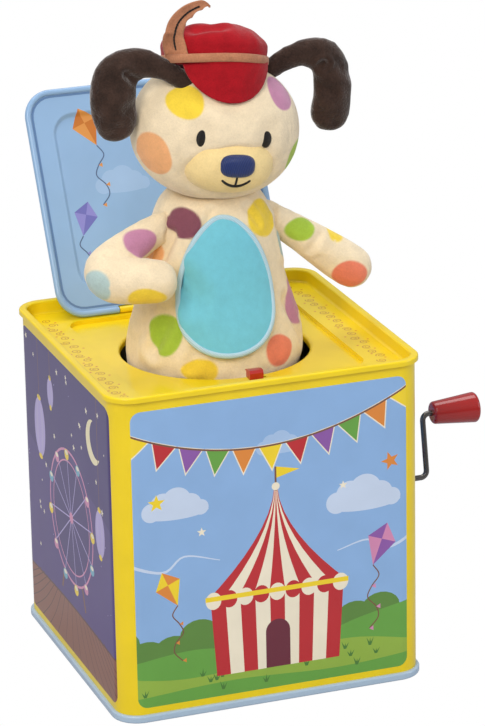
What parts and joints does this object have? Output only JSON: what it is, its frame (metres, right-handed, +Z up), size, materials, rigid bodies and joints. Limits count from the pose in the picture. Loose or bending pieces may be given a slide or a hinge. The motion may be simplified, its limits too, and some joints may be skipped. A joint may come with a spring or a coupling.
{
  "type": "jack in the box",
  "caption": "Square lithographed tin box with a side crank, pin-drum musical movement, sprung lid catch and hinged lid; a plush puppy in a hat rises from it on a coil spring.",
  "frame": {"origin": "middle of the underside of the box, on the surface it stands on", "axes": "+Z up, -Y towards the front wall that the puppy faces, +X towards the crank"},
  "size_m": [0.1863, 0.1768, 0.3016],
  "materials": {
    "printed_tin": "lithographed tinplate under clear varnish",
    "tray_tin": "yellow lithographed tinplate under clear varnish",
    "base_tin": "pale blue lithographed tinplate under clear varnish",
    "lid_tin": "light blue lithographed tinplate under clear varnish",
    "steel_wire": "drawn steel wire, bright",
    "dark_rod": "black nickel plate on steel rod",
    "steel_sheet": "plain steel sheet, mill finish",
    "spring_steel": "oil-tempered spring steel",
    "brass": "turned brass",
    "zinc_plate": "zinc-plated steel",
    "red_plastic": "moulded red plastic, glossy",
    "red_cap": "moulded red plastic cap",
    "white_plastic": "moulded white nylon",
    "card_disc": "moulded disc",
    "cream_fleece": "short-pile cream fleece with coloured patches",
    "aqua_satin": "aqua satin applique",
    "muzzle_plush": "pale yellow plush",
    "nose_thread": "navy satin stitch",
    "eye_thread": "black satin stitch",
    "brown_plush": "dark brown plush",
    "red_felt": "red felt",
    "tan_felt": "tan felt"
  },
  "bodies": {
    "tin": {"tin_body": "printed_tin", "base_plate": "base_tin", "top_tray": "tray_tin", "lid_hinge_pin": "steel_wire", "latch_bracket": "steel_sheet", "latch_pin": "steel_wire", "latch_spring": "spring_steel", "movement_frame": "steel_sheet", "frame_screws": "zinc_plate", "comb": "spring_steel", "comb_screws": "zinc_plate", "crank_bushing": "brass", "spring_seat": "zinc_plate", "pop_spring": "steel_wire", "body_sleeve": "cream_fleece", "belly_patch": "aqua_satin"},
    "crank": {"crank_rod": "dark_rod", "drive_pinion": "brass", "crank_clip": "spring_steel"},
    "knob": {"crank_knob": "red_plastic"},
    "drum": {"music_drum": "brass", "drum_gear": "white_plastic", "drum_axle": "steel_wire", "release_cam": "white_plastic", "axle_clip": "spring_steel"},
    "figure": {"spring_disc": "card_disc", "head": "cream_fleece", "muzzle": "muzzle_plush", "nose": "nose_thread", "eyes": "eye_thread", "left_ear": "brown_plush", "right_ear": "brown_plush", "left_arm": "cream_fleece", "right_arm": "cream_fleece", "hat_crown": "red_felt", "hat_band": "tan_felt", "hat_visor": "red_felt", "feather": "tan_felt"},
    "lid": {"lid": "lid_tin"},
    "latch": {"latch_lever": "steel_sheet", "latch_cap": "red_cap"}
  },
  "joints": [
    {"name": "crank_turn", "type": "hinge", "parent": "tin", "child": "crank", "pos_m": [0.045, -0.03, 0.0773], "axis": [1, 0, 0], "continuous": true},
    {"name": "knob_spin", "type": "hinge", "parent": "crank", "child": "knob", "pos_m": [0.105, -0.02473, 0.10521], "axis": [1, 0, 0], "continuous": true},
    {"name": "drum_turn", "type": "hinge", "parent": "tin", "child": "drum", "pos_m": [0.05, -0.04471, 0.06496], "axis": [1, 0, 0], "continuous": true},
    {"name": "pop_up", "type": "slide", "parent": "tin", "child": "figure", "axis": [0, 0, 1], "range_m": [-0.16, 0], "stiffness_N_per_m": 30, "springref_m": 0.06, "deforming": ["pop_spring", "body_sleeve", "belly_patch", "head", "muzzle", "nose", "eyes", "left_ear", "right_ear", "left_arm", "right_arm", "hat_crown", "hat_band", "hat_visor", "feather"]},
    {"name": "lid_hinge", "type": "hinge", "parent": "tin", "child": "lid", "pos_m": [0, 0.0555, 0.1448], "axis": [1, 0, 0], "range_deg": [0, 117.9]},
    {"name": "latch_release", "type": "hinge", "parent": "tin", "child": "latch", "pos_m": [0, -0.06, 0.105], "axis": [1, 0, 0], "range_deg": [0, 4], "stiffness_Nm_per_rad": 0.05, "springref_deg": -5.73, "deforming": ["latch_spring"]}
  ],
  "couplings": [
    {"joint": "drum_turn", "follows": "crank_turn", "ratio": -0.33333},
    {"joint": "lid_hinge", "follows": "pop_up", "rad_per_m": -12.861}
  ]
}
